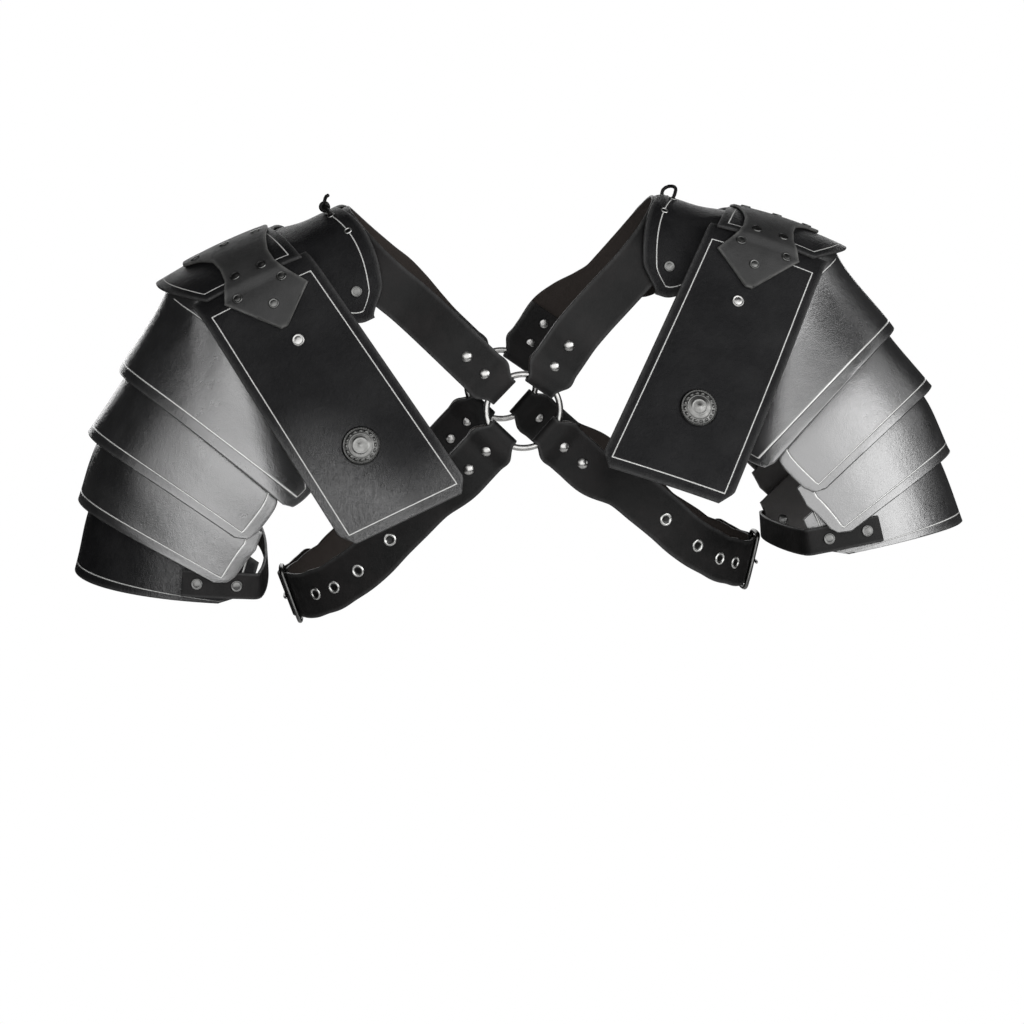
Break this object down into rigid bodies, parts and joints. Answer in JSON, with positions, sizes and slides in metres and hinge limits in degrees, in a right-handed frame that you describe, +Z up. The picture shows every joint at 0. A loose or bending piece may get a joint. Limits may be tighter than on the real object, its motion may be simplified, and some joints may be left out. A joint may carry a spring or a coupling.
{
  "type": "pair of leather pauldrons on a harness",
  "caption": "Black leather shoulder armour: layered plates and lames over each shoulder and upper arm, joined across chest and back by riveted, buckled straps on rings.",
  "frame": {"origin": "point on the shoulder line midway between the shoulders, where the wearer's neck stands", "axes": "+Z up, -Y the wearer's front, +X the right side of a viewer who faces the front"},
  "size_m": [0.758, 0.296, 0.3657],
  "materials": {
    "black_leather": "polished black, tooled lines, waxed edges",
    "strap_leather": "semi-matt black bridle leather",
    "nickel_steel": "bright nickel plate",
    "concho_silver": "antiqued cast silver finish"
  },
  "bodies": {
    "root": {"shoulder_cap_left": "black_leather", "saddle_plate_left": "black_leather", "connector_left": "black_leather", "chest_plate_left": "black_leather", "arm_lame_1_left": "black_leather", "arm_lame_2_left": "black_leather", "arm_lame_3_left": "black_leather", "arm_lame_4_left": "black_leather", "over_strap_left": "strap_leather", "front_strap_left": "strap_leather", "back_strap_left": "strap_leather", "arm_strap_left": "strap_leather", "lace_left": "strap_leather", "side_buckle_left": "nickel_steel", "concho_left": "concho_silver", "shoulder_cap_right": "black_leather", "saddle_plate_right": "black_leather", "connector_right": "black_leather", "chest_plate_right": "black_leather", "arm_lame_1_right": "black_leather", "arm_lame_2_right": "black_leather", "arm_lame_3_right": "black_leather", "arm_lame_4_right": "black_leather", "over_strap_right": "strap_leather", "front_strap_right": "strap_leather", "back_strap_right": "strap_leather", "arm_strap_right": "strap_leather", "lace_right": "strap_leather", "side_buckle_right": "nickel_steel", "concho_right": "concho_silver", "front_ring": "nickel_steel", "back_ring": "nickel_steel"}
  },
  "joints": []
}
